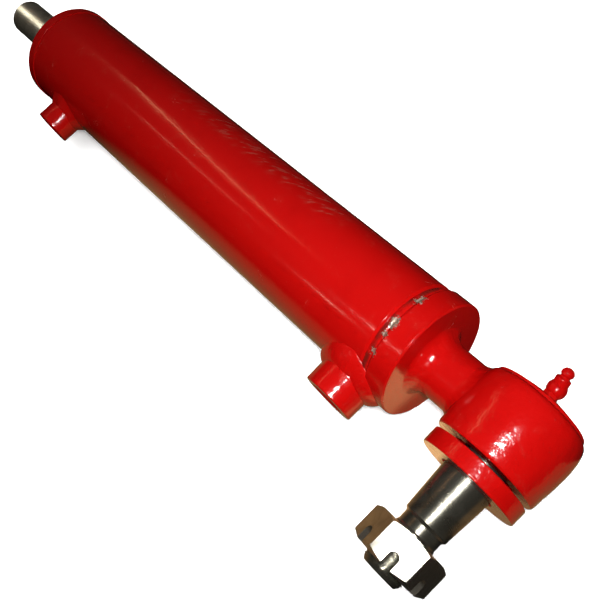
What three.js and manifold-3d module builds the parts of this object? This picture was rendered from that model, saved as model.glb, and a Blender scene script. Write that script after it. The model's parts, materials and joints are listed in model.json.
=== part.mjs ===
// Double-acting steering cylinder with a ball-joint base end.
//
// Millimetres. The pieces are drawn with the barrel axis along X, the ball stud along -Y and up
// along Z, from the centre of the end cap's outer face. The whole cylinder is then tipped about
// the barrel axis until the stud's nut touches the ground, as it lies at rest, and moved so that
// the origin is the centre of its footprint.
import * as THREE from 'three';
import { mergeVertices } from 'three/addons/utils/BufferGeometryUtils.js';
import Module from 'manifold-3d';

const wasm = await Module();
wasm.setup();

// ---- driving dimensions ----

const GAP = 0.3;                 // clearance between pieces that touch
const ROUND = 40;                // facets round a large turned piece
const SMALL_ROUND = 28;          // facets round a small one
const HIDDEN_ROUND = 24;         // facets round a piece inside the cylinder

const TUBE_R = 31.75;            // 2.5 in outside, 2 in bore
const BORE_R = 25.4;
const TUBE_BASE_X = -17.3;
const TUBE_ROD_X = -333.2;

const CAP_R = 32.8;              // end cap at the ball-joint end
const CAP_WIDTH = 13.8;
const CAP_SPIGOT_X = -18;
const GLAND_R = 32.7;            // head at the rod end
const GLAND_FACE_X = -339.4;
const GLAND_NOSE_X = -291;

const ROD_R = 11.775;
const ROD_TIP_X = -402.6;
const ROD_SPIGOT_R = 8;
const ROD_INNER_X = -20.5;
const PISTON_R = 24.9;
const PISTON_FRONT_X = -70;
const PISTON_BACK_X = -34;
const PISTON_NUT_FLATS = 24;
const PISTON_NUT_HEIGHT = 12.5;

const BASE_PORT = { x: -25, radius: 14.5, face: 47.6, thread: 8.7, depth: 12, drill: 6, weld: 5.5 };
const ROD_PORT = { x: -299.4, radius: 11.5, face: 45.3, thread: 6.7, depth: 10.5, drill: 5, weld: 4 };

const NECK_R = 14.45;
const HOUSING_X = 51.3;          // stud axis, along the barrel from the end cap
const HOUSING_BACK = -15;        // closed end of the housing, along the stud axis
const HOUSING_FRONT = 20.8;      // open end
const HOUSING_BORE_R = 22.5;
const HOUSING_LIP = 13.5;
const HOUSING_MOUTH_R = 16.5;
const HOUSING_CAP_R = 24.7;

const BALL_R = 17.5;
const BALL_CENTRE = 3;           // along the stud axis
const LINER_R = 19.2;
const SEAT_R = HOUSING_BORE_R - GAP;

const DISC_R = 26.3;
const DISC_BACK = 23;
const DISC_FACE = 31.6;
const TAPER_R = 13.34;           // stud radius where it leaves the disc
const TAPER_SLOPE = 0.064;       // 1 in 8 on diameter
const TAPER_END = 57.2;
const THREAD_R = 10.9;
const THREAD_START = 64;
const STUD_END = 86.7;

const NUT_FLATS = 36;
const NUT_BACK = 64.8;
const NUT_FACE = 82.4;
const NUT_CORNER_END = 80.1;     // where the corners' end chamfer begins
const NUT_TURN = THREE.MathUtils.degToRad(15);
const SLOT_WIDTH = 5.6;
const SLOT_DEPTH = 8;

const NIPPLE_BALL = -27;         // centre of the grease elbow, along the stud axis
const NIPPLE_BALL_R = 4.9;
const NIPPLE_TILT = THREE.MathUtils.degToRad(30);

const NUT_CORNER_R = NUT_FLATS / Math.sqrt(3);

// ---- materials ----

const metal = (colour, roughness) =>
  new THREE.MeshStandardMaterial({ color: colour, roughness, metalness: 0.9 });
const soft = (colour, roughness) =>
  new THREE.MeshStandardMaterial({ color: colour, roughness, metalness: 0 });

const redPaint = soft(0xc8120c, 0.3);
const groundSteel = metal(0x8f8c80, 0.3);
const chromedSteel = metal(0xb4b2a6, 0.2);
const zincSteel = metal(0xc9c7bd, 0.35);
const springSteel = metal(0x4a4c50, 0.45);
const castIron = metal(0x5b5a57, 0.6);
const bronze = metal(0xa87a3c, 0.4);
const whitePlastic = soft(0xded9c8, 0.5);
const blackRubber = soft(0x1c1c1c, 0.8);

// ---- solids ----

function solid(geometry) {
  const bare = geometry.index ? geometry.toNonIndexed() : geometry.clone();
  bare.deleteAttribute('normal');
  bare.deleteAttribute('uv');
  const merged = mergeVertices(bare, 1e-3);
  const vertProperties = new Float32Array(merged.attributes.position.array);
  const faces = merged.index.array;
  const corner = (i) => new THREE.Vector3().fromArray(vertProperties, 3 * faces[i]);
  const kept = [];
  let volume = 0;
  for (let i = 0; i < faces.length; i += 3) {
    const [a, b, c] = [faces[i], faces[i + 1], faces[i + 2]];
    if (a === b || b === c || c === a) continue;
    kept.push(a, b, c);
    volume += corner(i).dot(corner(i + 1).cross(corner(i + 2)));
  }
  if (volume < 0) kept.reverse();
  const triVerts = new Uint32Array(kept);
  return new wasm.Manifold(new wasm.Mesh({ numProp: 3, vertProperties, triVerts }));
}

function lathe(outline, facets) {
  const points = outline.map(([radius, along]) => new THREE.Vector2(radius, along));
  return new THREE.LatheGeometry(points, facets);
}

// outline points are [radius, x]
function turnedOnBarrel(outline, facets = ROUND) {
  return solid(lathe(outline, facets).rotateZ(-Math.PI / 2));
}

// outline points are [radius, distance along the stud direction]
function turnedOnStud(outline, x = HOUSING_X, facets = ROUND) {
  return solid(lathe(outline, facets).rotateX(Math.PI).translate(x, 0, 0));
}

function ringOutline(inner, outer, from, to) {
  return [[inner, from], [outer, from], [outer, to], [inner, to], [inner, from]];
}

function rodOutline(radius, from, to) {
  return [[0, from], [radius, from], [radius, to], [0, to]];
}

// points of a sphere's outline between two places along its axis
function sphereArc(radius, centre, from, to, steps) {
  const start = Math.acos((from - centre) / radius);
  const end = Math.acos((to - centre) / radius);
  const points = [];
  for (let i = 0; i <= steps; i += 1) {
    const angle = start + (end - start) * i / steps;
    points.push([radius * Math.sin(angle), centre + radius * Math.cos(angle)]);
  }
  return points;
}

const closed = (outline) => [...outline, outline[0]];

function hexPrism(acrossFlats, height) {
  const cornerRadius = acrossFlats / Math.sqrt(3);
  return new THREE.CylinderGeometry(cornerRadius, cornerRadius, height, 6);
}

// a ring made by joining one outline to the next all the way round
function loftedRing(outlineAt, facets) {
  const outlines = [];
  for (let i = 0; i < facets; i += 1) outlines.push(outlineAt(2 * Math.PI * i / facets));
  const count = outlines[0].length;
  const vertex = (i, j) => outlines[i % facets][j % count];
  const corners = [];
  for (let i = 0; i < facets; i += 1) {
    for (let j = 0; j < count; j += 1) {
      corners.push(vertex(i, j), vertex(i + 1, j), vertex(i + 1, j + 1));
      corners.push(vertex(i, j), vertex(i + 1, j + 1), vertex(i, j + 1));
    }
  }
  const geometry = new THREE.BufferGeometry();
  geometry.setAttribute('position', new THREE.Float32BufferAttribute(corners.flat(), 3));
  return solid(geometry);
}

function addPiece(name, body, material) {
  const mesh = body.getMesh();
  const geometry = new THREE.BufferGeometry();
  geometry.setAttribute('position', new THREE.BufferAttribute(mesh.vertProperties, 3));
  geometry.setIndex(new THREE.BufferAttribute(mesh.triVerts, 1));
  geometry.computeVertexNormals();
  const piece = new THREE.Mesh(geometry, material);
  piece.name = name;
  cylinder.add(piece);
}

const cylinder = new THREE.Group();

// ---- barrel ----

function barrelTube() {
  const chamfer = 1.2;
  const tube = turnedOnBarrel(closed([
    [BORE_R, TUBE_ROD_X],
    [TUBE_R, TUBE_ROD_X],
    [TUBE_R, TUBE_BASE_X - chamfer],
    [TUBE_R - chamfer, TUBE_BASE_X],
    [BORE_R, TUBE_BASE_X],
  ]));
  const holes = [BASE_PORT, ROD_PORT].map((port) =>
    turnedOnStud(rodOutline(port.drill, BORE_R - 5, TUBE_R + 5), port.x, SMALL_ROUND));
  return tube.subtract(holes[0]).subtract(holes[1]);
}

function endCap() {
  const backChamfer = 1.6;
  const frontChamfer = 0.7;
  return turnedOnBarrel([
    [0, CAP_SPIGOT_X],
    [BORE_R - GAP, CAP_SPIGOT_X],
    [BORE_R - GAP, -CAP_WIDTH],
    [CAP_R - backChamfer, -CAP_WIDTH],
    [CAP_R, backChamfer - CAP_WIDTH],
    [CAP_R, -frontChamfer],
    [CAP_R - frontChamfer, 0],
    [0, 0],
  ]);
}

function capWeld() {
  const from = TUBE_BASE_X + GAP;
  const to = -CAP_WIDTH - GAP;
  const crown = TUBE_R + 0.2;
  return turnedOnBarrel(closed([
    [BORE_R + GAP, from],
    [TUBE_R - 1, from],
    [crown, from + 0.8],
    [crown, to - 0.8],
    [TUBE_R - 1, to],
    [BORE_R + GAP, to],
  ]));
}

// ---- ports ----

// the tube and end cap with clearance, to cut away from what stands on them
function barrelOutside() {
  return turnedOnBarrel([
    [0, GLAND_FACE_X],
    [TUBE_R + GAP, GLAND_FACE_X],
    [TUBE_R + GAP, TUBE_BASE_X],
    [CAP_R + GAP, -CAP_WIDTH - GAP],
    [CAP_R + GAP, 0],
    [0, 0],
  ]);
}

function portBoss(port) {
  const chamfer = 0.8;
  const shell = turnedOnStud([
    [0, BORE_R],
    [port.radius, BORE_R],
    [port.radius, port.face - chamfer],
    [port.radius - chamfer, port.face],
    [0, port.face],
  ], port.x, SMALL_ROUND);
  const bore = turnedOnStud([
    [0, 0],
    [port.drill, 0],
    [port.drill, port.face - port.depth - 2],
    [port.thread, port.face - port.depth],
    [port.thread, port.face - 1.5],
    [port.thread + 1.2, port.face],
    [port.thread + 1.2, port.face + 1],
    [0, port.face + 1],
  ], port.x, SMALL_ROUND);
  return shell.subtract(barrelOutside()).subtract(bore);
}

// fillet weld where a boss stands on the tube
function portWeld(port) {
  const inner = port.radius + GAP;
  const tubeSurface = (z) => Math.sqrt(TUBE_R ** 2 - z ** 2);
  const ring = loftedRing((angle) => {
    const place = (radius, lift) => {
      const z = radius * Math.cos(angle);
      return [port.x + radius * Math.sin(angle), -(tubeSurface(z) + lift), z];
    };
    const width = port.weld;
    return [
      place(inner, 0),
      place(inner + width, 0),
      place(inner + 0.72 * width, 0.5 * width),
      place(inner + 0.35 * width, 0.85 * width),
      place(inner, 0.95 * width),
    ];
  }, SMALL_ROUND);
  return ring.subtract(barrelOutside());
}

// ---- neck and ball-joint housing ----

const housingOutline = [
  [24.3, HOUSING_BACK],
  [25.8, -14.4],
  [26.9, -13],
  [27.9, -9.8],
  [28.5, -4.7],
  [28.7, 0.8],
  [28.3, 7.9],
  [27.8, 14],
  [27.4, 19.4],
  [26.6, HOUSING_FRONT],
];

function housingRadius(along) {
  const last = housingOutline.length - 1;
  const clamped = THREE.MathUtils.clamp(along, HOUSING_BACK, HOUSING_FRONT);
  let i = 1;
  while (i < last && housingOutline[i][1] < clamped) i += 1;
  const [r0, s0] = housingOutline[i - 1];
  const [r1, s1] = housingOutline[i];
  return THREE.MathUtils.mapLinear(clamped, s0, s1, r0, r1);
}

function ballHousing() {
  return turnedOnStud(closed([
    ...housingOutline,
    [HOUSING_MOUTH_R + 1, HOUSING_FRONT],
    [HOUSING_MOUTH_R, HOUSING_FRONT - 1],
    [HOUSING_MOUTH_R, HOUSING_LIP],
    [HOUSING_BORE_R, HOUSING_LIP],
    [HOUSING_BORE_R, HOUSING_BACK],
  ]));
}

// the housing and its cap with clearance, to cut away from what is welded to it
function housingOutside() {
  return turnedOnStud([
    [0, HOUSING_BACK - 5],
    [HOUSING_CAP_R + GAP, HOUSING_BACK - 5],
    [HOUSING_CAP_R + GAP, HOUSING_BACK],
    ...housingOutline.slice(1).map(([radius, along]) => [radius + GAP, along]),
    [0, HOUSING_FRONT + 5],
  ]);
}

function neck() {
  const bar = turnedOnBarrel(rodOutline(NECK_R, GAP, HOUSING_X - 10), SMALL_ROUND);
  return bar.subtract(housingOutside());
}

function neckCapWeld() {
  return turnedOnBarrel(closed([
    [NECK_R + GAP, GAP],
    [NECK_R + 4.2, GAP],
    [NECK_R + 2.6, 1.6],
    [NECK_R + 1.2, 3.4],
    [NECK_R + GAP, 5.6],
  ]), SMALL_ROUND);
}

// fillet weld where the neck meets the rounded housing
function neckHousingWeld() {
  const ring = loftedRing((angle) => {
    const place = (radius, back) => {
      const along = radius * Math.cos(angle);
      const z = radius * Math.sin(angle);
      const surface = Math.sqrt(housingRadius(along) ** 2 - z ** 2);
      return [HOUSING_X - surface - back, -along, z];
    };
    const inner = NECK_R + GAP;
    return [
      place(inner, 0),
      place(inner, 4),
      place(inner + 0.9, 3.2),
      place(inner + 1.8, 1.4),
      place(inner + 2.4, 0),
    ];
  }, SMALL_ROUND);
  return ring.subtract(housingOutside());
}

function housingCap() {
  const rim = HOUSING_CAP_R;
  const top = -16.6;
  const apex = -20.9;
  const crownR = 22.8;
  const holeR = 3.2;
  const domeRadius = (crownR ** 2 + (top - apex) ** 2) / (2 * (top - apex));
  const dome = sphereArc(domeRadius, apex + domeRadius, top, apex + 0.07, 5).reverse();
  const underside = HOUSING_BACK - GAP;
  return turnedOnStud(closed([
    [holeR, -11.5],
    [holeR, apex + 0.07],
    ...dome.slice(1),
    [rim - 0.4, top + 0.35],
    [rim, top + 0.9],
    [rim, underside],
    [SEAT_R, underside],
    [SEAT_R, -11.5],
  ]), HOUSING_X, SMALL_ROUND);
}

// ---- grease fitting ----

function greaseFitting() {
  const stem = turnedOnStud(rodOutline(2.9, NIPPLE_BALL, -12), HOUSING_X, 20);
  const nut = solid(hexPrism(8.6, 3).translate(HOUSING_X, -(NIPPLE_BALL + 4.4), 0));
  const ball = solid(new THREE.SphereGeometry(NIPPLE_BALL_R, 20, 12)
    .translate(HOUSING_X, -NIPPLE_BALL, 0));
  const head = solid(lathe([
    [0, 0],
    [3.8, 0],
    [3.8, 6],
    [2.5, 6.3],
    [2.5, 7.2],
    [3.15, 8.2],
    [3.15, 9.5],
    [2.2, 10.9],
    [1.1, 11.4],
    [0, 11.4],
  ], 20).rotateX(NIPPLE_TILT).translate(HOUSING_X, -NIPPLE_BALL, 0));
  return stem.add(nut).add(ball).add(head);
}

// ---- ball joint ----

function upperSeat() {
  const back = -6.7;
  const front = BALL_CENTRE - 0.3;
  return turnedOnStud(closed([
    [SEAT_R, back],
    [SEAT_R, front],
    ...sphereArc(LINER_R + GAP, BALL_CENTRE, front, back, 5),
  ]), HOUSING_X, HIDDEN_ROUND);
}

function lowerSeat() {
  const front = HOUSING_LIP - GAP;
  const back = BALL_CENTRE + 0.3;
  return turnedOnStud(closed([
    [SEAT_R, back],
    [SEAT_R, front],
    ...sphereArc(LINER_R + GAP, BALL_CENTRE, front, back, 5),
  ]), HOUSING_X, HIDDEN_ROUND);
}

function preloadSpring() {
  return turnedOnStud(closed([[14.6, -11.1], [14.6, -9.6], [21.6, -7.1], [21.6, -8.6]]),
    HOUSING_X, HIDDEN_ROUND);
}

function ballLiner() {
  const front = BALL_CENTRE + 10.5;
  const back = BALL_CENTRE - 9.5;
  return turnedOnStud(closed([
    ...sphereArc(LINER_R, BALL_CENTRE, front, back, 9),
    ...sphereArc(BALL_R + GAP, BALL_CENTRE, back, front, 9),
  ]), HOUSING_X, HIDDEN_ROUND);
}

function dustSeal() {
  return turnedOnStud(ringOutline(15, 20, DISC_BACK - 0.6, DISC_BACK + 2), HOUSING_X, SMALL_ROUND);
}

function dustDisc() {
  const recess = DISC_BACK + 2 + GAP;
  const bore = TAPER_R + TAPER_SLOPE * (DISC_FACE - DISC_BACK) + GAP;
  const edge = 0.6;
  return turnedOnStud(closed([
    [20 + GAP, DISC_BACK],
    [DISC_R - edge, DISC_BACK],
    [DISC_R, DISC_BACK + edge],
    [DISC_R, DISC_FACE - edge],
    [DISC_R - edge, DISC_FACE],
    [bore, DISC_FACE],
    [bore, recess],
    [20 + GAP, recess],
  ]));
}

function ballStud() {
  const flat = BALL_CENTRE - 12.5;
  const neckR = 12;
  const neckStart = BALL_CENTRE + Math.sqrt(BALL_R ** 2 - neckR ** 2);
  const taperRadius = (along) => TAPER_R - TAPER_SLOPE * (along - DISC_FACE);
  const reliefR = 10.4;
  const stud = turnedOnStud([
    [0, flat],
    ...sphereArc(BALL_R, BALL_CENTRE, flat, neckStart, 10),
    [neckR, DISC_BACK - 1.5],
    [taperRadius(DISC_BACK), DISC_BACK],
    [taperRadius(TAPER_END), TAPER_END],
    [reliefR, TAPER_END + 2],
    [reliefR, THREAD_START - 0.5],
    [THREAD_R, THREAD_START],
    [THREAD_R, NUT_FACE],
    [9, STUD_END],
    [0, STUD_END],
  ], HOUSING_X, SMALL_ROUND);
  // cross hole for the split pin, in line with a pair of the nut's slots
  const pinHole = solid(new THREE.CylinderGeometry(2.2, 2.2, 30, 16)
    .rotateX(Math.PI / 2)
    .rotateY(NUT_TURN + Math.PI / 3)
    .translate(HOUSING_X, -(NUT_FACE - 0.6 * SLOT_DEPTH), 0));
  return stud.subtract(pinHole);
}

function castleNut() {
  const middle = (NUT_BACK + NUT_FACE) / 2;
  const turn = NUT_TURN - Math.PI / 6;
  const blank = solid(hexPrism(NUT_FLATS, NUT_FACE - NUT_BACK)
    .rotateY(turn)
    .translate(HOUSING_X, -middle, 0));
  const chamfers = turnedOnStud([
    [0, NUT_BACK],
    [18.2, NUT_BACK],
    [NUT_CORNER_R + 0.3, NUT_BACK + 1.6],
    [NUT_CORNER_R + 0.3, NUT_CORNER_END],
    [17.2, NUT_FACE],
    [0, NUT_FACE],
  ]);
  let nut = blank.intersect(chamfers);
  const threadHole = rodOutline(THREAD_R + GAP, NUT_BACK - 1, NUT_FACE + 1);
  nut = nut.subtract(turnedOnStud(threadHole, HOUSING_X, SMALL_ROUND));
  const slotFloor = NUT_FACE - SLOT_DEPTH + SLOT_WIDTH / 2;
  for (let i = 0; i < 3; i += 1) {
    const angle = NUT_TURN + i * Math.PI / 3;
    const straight = new THREE.BoxGeometry(SLOT_WIDTH, 10, 60).translate(0, -(slotFloor + 5), 0);
    const roundEnd = new THREE.CylinderGeometry(SLOT_WIDTH / 2, SLOT_WIDTH / 2, 60, 16)
      .rotateX(Math.PI / 2)
      .translate(0, -slotFloor, 0);
    for (const cutter of [straight, roundEnd]) {
      nut = nut.subtract(solid(cutter.rotateY(angle).translate(HOUSING_X, 0, 0)));
    }
  }
  return nut;
}

// ---- gland at the rod end ----

const WIPER = { from: GLAND_FACE_X + 1, to: GLAND_FACE_X + 6, outer: 15.7 };
const ROD_SEAL = { from: -325.7, to: -319.3, outer: 16.7 };
const ROD_BUSH = { from: -311.7, to: -297.3, outer: 14.1 };
const GLAND_ORING = { from: -321.7, to: -318.3, inner: 22.7 };

function gland() {
  const bodyR = BORE_R - GAP;
  const flangeX = TUBE_ROD_X - GAP;
  const boreR = ROD_R + GAP;
  const edge = 1;
  const groove = ({ from, to, outer }) => [
    [boreR, to + GAP],
    [outer + GAP, to + GAP],
    [outer + GAP, from - GAP],
    [boreR, from - GAP],
  ];
  return turnedOnBarrel(closed([
    [WIPER.outer + GAP, GLAND_FACE_X],
    [GLAND_R - edge, GLAND_FACE_X],
    [GLAND_R, GLAND_FACE_X + edge],
    [GLAND_R, flangeX],
    [bodyR, flangeX],
    [bodyR, GLAND_ORING.from - GAP],
    [GLAND_ORING.inner - GAP, GLAND_ORING.from - GAP],
    [GLAND_ORING.inner - GAP, GLAND_ORING.to + GAP],
    [bodyR, GLAND_ORING.to + GAP],
    [bodyR, -308],
    [20, -306],
    [20, GLAND_NOSE_X],
    [boreR, GLAND_NOSE_X],
    ...groove(ROD_BUSH),
    ...groove(ROD_SEAL),
    [boreR, WIPER.to + GAP],
    [WIPER.outer + GAP, WIPER.to + GAP],
  ]), SMALL_ROUND);
}

function rodRing({ from, to, outer }) {
  return turnedOnBarrel(ringOutline(ROD_R + GAP, outer, from, to), HIDDEN_ROUND);
}

function glandOring() {
  const { from, to, inner } = GLAND_ORING;
  return turnedOnBarrel(ringOutline(inner, BORE_R - GAP, from, to), HIDDEN_ROUND);
}

// ---- rod and piston ----

const PISTON_SEAL = { from: -55, to: -49, inner: 20.8 };
const WEAR_RINGS = [{ from: -67, to: -60, inner: 23 }, { from: -44, to: -37, inner: 23 }];
const PISTON_ORING = { from: -53.5, to: -50.5, outer: 10.2 };

function pistonRod() {
  const tipChamfer = 0.9;
  const shoulder = PISTON_FRONT_X - GAP;
  return turnedOnBarrel([
    [0, ROD_TIP_X],
    [ROD_R - tipChamfer, ROD_TIP_X],
    [ROD_R, ROD_TIP_X + tipChamfer],
    [ROD_R, shoulder],
    [ROD_SPIGOT_R, shoulder],
    [ROD_SPIGOT_R, ROD_INNER_X - 1],
    [ROD_SPIGOT_R - 1, ROD_INNER_X],
    [0, ROD_INNER_X],
  ], SMALL_ROUND);
}

function piston() {
  const boreR = ROD_SPIGOT_R + GAP;
  const groove = ({ from, to, inner }) => [
    [PISTON_R, from - GAP],
    [inner - GAP, from - GAP],
    [inner - GAP, to + GAP],
    [PISTON_R, to + GAP],
  ];
  return turnedOnBarrel(closed([
    [boreR, PISTON_FRONT_X],
    [PISTON_R - 1, PISTON_FRONT_X],
    [PISTON_R, PISTON_FRONT_X + 1],
    ...groove(WEAR_RINGS[0]),
    ...groove(PISTON_SEAL),
    ...groove(WEAR_RINGS[1]),
    [PISTON_R, PISTON_BACK_X - 1],
    [PISTON_R - 1, PISTON_BACK_X],
    [boreR, PISTON_BACK_X],
    [boreR, PISTON_ORING.to + GAP],
    [PISTON_ORING.outer + GAP, PISTON_ORING.to + GAP],
    [PISTON_ORING.outer + GAP, PISTON_ORING.from - GAP],
    [boreR, PISTON_ORING.from - GAP],
  ]), SMALL_ROUND);
}

function boreRing({ from, to, inner }) {
  return turnedOnBarrel(ringOutline(inner, BORE_R - GAP, from, to), SMALL_ROUND);
}

function pistonOring() {
  const { from, to, outer } = PISTON_ORING;
  return turnedOnBarrel(ringOutline(ROD_SPIGOT_R + GAP, outer, from, to), HIDDEN_ROUND);
}

function pistonNut() {
  const from = PISTON_BACK_X + GAP;
  const blank = solid(hexPrism(PISTON_NUT_FLATS, PISTON_NUT_HEIGHT)
    .rotateZ(-Math.PI / 2)
    .translate(from + PISTON_NUT_HEIGHT / 2, 0, 0));
  const hole = rodOutline(ROD_SPIGOT_R + GAP, from - 1, from + PISTON_NUT_HEIGHT + 1);
  return blank.subtract(turnedOnBarrel(hole, HIDDEN_ROUND));
}

// ---- assembly ----

addPiece('barrel_tube', barrelTube(), redPaint);
addPiece('end_cap', endCap(), redPaint);
addPiece('cap_weld', capWeld(), redPaint);
addPiece('base_port_boss', portBoss(BASE_PORT), redPaint);
addPiece('base_port_weld', portWeld(BASE_PORT), redPaint);
addPiece('rod_port_boss', portBoss(ROD_PORT), redPaint);
addPiece('rod_port_weld', portWeld(ROD_PORT), redPaint);
addPiece('neck', neck(), redPaint);
addPiece('neck_cap_weld', neckCapWeld(), redPaint);
addPiece('neck_housing_weld', neckHousingWeld(), redPaint);
addPiece('ball_housing', ballHousing(), redPaint);
addPiece('housing_cap', housingCap(), redPaint);
addPiece('grease_fitting', greaseFitting(), redPaint);
addPiece('preload_spring', preloadSpring(), springSteel);
addPiece('upper_ball_seat', upperSeat(), bronze);
addPiece('lower_ball_seat', lowerSeat(), bronze);
addPiece('ball_liner', ballLiner(), whitePlastic);
addPiece('dust_seal', dustSeal(), blackRubber);
addPiece('dust_disc', dustDisc(), redPaint);
addPiece('ball_stud', ballStud(), groundSteel);
addPiece('castle_nut', castleNut(), zincSteel);
addPiece('gland', gland(), redPaint);
addPiece('gland_oring', glandOring(), blackRubber);
addPiece('rod_wiper', rodRing(WIPER), blackRubber);
addPiece('rod_seal', rodRing(ROD_SEAL), blackRubber);
addPiece('rod_bush', rodRing(ROD_BUSH), bronze);
addPiece('piston_rod', pistonRod(), chromedSteel);
addPiece('piston', piston(), castIron);
addPiece('piston_oring', pistonOring(), blackRubber);
addPiece('piston_nut', pistonNut(), zincSteel);
addPiece('piston_seal', boreRing(PISTON_SEAL), blackRubber);
WEAR_RINGS.forEach((ring, i) => addPiece(`piston_wear_ring_${i + 1}`, boreRing(ring), whitePlastic));

// the cylinder lies on its end cap, its gland and one corner of the nut
const cornerDrop = NUT_CORNER_R * Math.cos(NUT_TURN);
const tip = Math.asin(CAP_R / Math.hypot(NUT_CORNER_END, cornerDrop))
  - Math.atan2(cornerDrop, NUT_CORNER_END);
cylinder.rotation.x = tip;

const box = new THREE.Box3().setFromObject(cylinder, true);
const centre = box.getCenter(new THREE.Vector3());
cylinder.position.set(-centre.x, -centre.y, -box.min.z);

const part = new THREE.Group();
part.name = 'steering_cylinder';
part.add(cylinder);

export default part;
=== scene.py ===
"""Fine surfaces, materials, camera and studio for the steering cylinder.

Pieces are drawn in millimetres in the cylinder's own directions: x along the barrel, y away from
the ball stud's nut and z up, from the centre of the end cap's outer face. OWN turns them into the
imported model's frame, in metres. Materials and lights are in that frame.
"""

import json
import math

import bmesh
import bpy
from mathutils import Matrix, Vector, noise


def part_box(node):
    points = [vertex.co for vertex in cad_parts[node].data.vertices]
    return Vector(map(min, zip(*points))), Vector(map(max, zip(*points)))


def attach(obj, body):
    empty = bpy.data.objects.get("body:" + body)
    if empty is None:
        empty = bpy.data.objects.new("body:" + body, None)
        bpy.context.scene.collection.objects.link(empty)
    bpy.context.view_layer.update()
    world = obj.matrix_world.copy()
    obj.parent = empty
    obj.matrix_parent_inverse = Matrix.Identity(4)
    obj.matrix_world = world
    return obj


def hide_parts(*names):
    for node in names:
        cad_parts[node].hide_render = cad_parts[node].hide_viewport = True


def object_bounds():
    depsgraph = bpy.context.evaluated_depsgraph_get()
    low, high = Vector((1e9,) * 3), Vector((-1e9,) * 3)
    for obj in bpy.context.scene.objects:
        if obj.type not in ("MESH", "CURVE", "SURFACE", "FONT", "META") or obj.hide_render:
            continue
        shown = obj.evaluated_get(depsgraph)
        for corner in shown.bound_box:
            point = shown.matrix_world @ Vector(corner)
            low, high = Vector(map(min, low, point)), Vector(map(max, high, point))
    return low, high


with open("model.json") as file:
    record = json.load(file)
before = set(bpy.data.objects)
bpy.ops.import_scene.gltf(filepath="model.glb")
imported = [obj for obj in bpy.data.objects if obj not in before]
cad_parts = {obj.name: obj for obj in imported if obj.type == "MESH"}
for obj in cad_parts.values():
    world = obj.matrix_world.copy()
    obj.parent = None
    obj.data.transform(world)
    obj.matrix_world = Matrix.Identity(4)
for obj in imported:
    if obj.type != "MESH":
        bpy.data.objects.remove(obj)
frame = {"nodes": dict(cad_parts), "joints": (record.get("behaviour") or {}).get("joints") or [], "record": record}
cad_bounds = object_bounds()

# ---- frame ----

joints = {joint["name"]: joint for joint in frame["joints"]}
ALONG = Vector((1, 0, 0))
STUD = Vector(joints["stud_spin"]["axis"]).normalized()
UP = STUD.cross(ALONG)
MM = 0.001
tube_lo, tube_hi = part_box("barrel_tube")
centre = (tube_lo + tube_hi) / 2
ORIGIN = Vector((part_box("end_cap")[1].x, centre.y, centre.z))
OWN = Matrix.Translation(ORIGIN) @ Matrix((ALONG, -STUD, UP)).transposed().to_4x4() @ Matrix.Scale(MM, 4)

TUBE_R, BORE_R = 31.75, 25.4
TUBE_CAP_X, TUBE_ROD_X = -17.3, -333.2
CAP_R, GLAND_R, GLAND_FACE_X = 32.8, 32.1, -340.8
ROD_R, ROD_END_X = 11.775, -402.6
HOUSING_X = 51.3
BASE_PORT = dict(x=-25, radius=14.5, face=47.6, thread=8.7, depth=12, drill=6, weld=6.0, bulge=1.4)
ROD_PORT = dict(x=-299.4, radius=11.5, face=45.3, thread=6.7, depth=10.5, drill=5, weld=4.6, bulge=2.2)
NECK_R = 14.45
THREAD_R = 10.9
THREAD_PITCH, THREAD_DEPTH = 1.25, 0.72
NUT_FLATS, NUT_BACK, NUT_FACE = 36, 64.8, 82.4
NUT_CORNER_R = NUT_FLATS / math.sqrt(3)
NUT_TURN = math.radians(15)

# ---- mesh making ----


def new_object(name, mesh):
    obj = bpy.data.objects.new(name, mesh)
    bpy.context.scene.collection.objects.link(obj)
    return obj


def mesh_object(name, verts, faces):
    """A closed piece from points in the cylinder's own millimetres."""
    mesh = bpy.data.meshes.new(name)
    mesh.from_pydata([OWN @ Vector(v) for v in verts], [], faces)
    bm = bmesh.new()
    bm.from_mesh(mesh)
    bmesh.ops.recalc_face_normals(bm, faces=bm.faces)
    bm.to_mesh(mesh)
    bm.free()
    return new_object(name, mesh)


def rounded(outline, closed=False, steps=5):
    """Replaces each outline point that has a third number, its fillet radius, by an arc."""
    done = []
    count = len(outline)
    for i, point in enumerate(outline):
        here = Vector(point[:2])
        at_end = not closed and i in (0, count - 1)
        if len(point) < 3 or at_end:
            done.append(tuple(here))
            continue
        before = (Vector(outline[i - 1][:2]) - here).normalized()
        after = (Vector(outline[(i + 1) % count][:2]) - here).normalized()
        half = before.angle(after) / 2
        reach = point[2] / math.tan(half)
        middle = here + (before + after).normalized() * point[2] / math.sin(half)
        start, end = here + before * reach - middle, here + after * reach - middle
        sweep = start.angle(end)
        for k in range(steps + 1):
            t = k / steps
            arm = (start * math.sin((1 - t) * sweep) + end * math.sin(t * sweep)) / math.sin(sweep)
            done.append(tuple(middle + arm))
    return done


def smooth(points, steps=6):
    """A curve through all the points."""
    done = []
    for i in range(len(points) - 1):
        p = [Vector(points[min(max(i + k, 0), len(points) - 1)]) for k in (-1, 0, 1, 2)]
        for k in range(steps):
            t = k / steps
            done.append(tuple(0.5 * (2 * p[1] + (p[2] - p[0]) * t
                                     + (2 * p[0] - 5 * p[1] + 4 * p[2] - p[3]) * t ** 2
                                     + (3 * p[1] - 3 * p[2] + p[3] - p[0]) * t ** 3)))
    return done + [tuple(points[-1])]


def evenly(radius, start, end, step):
    """Points at one radius between two places along the axis, about step apart."""
    count = max(1, round(abs(end - start) / step))
    return [(radius, start + (end - start) * i / count) for i in range(count + 1)]


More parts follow.
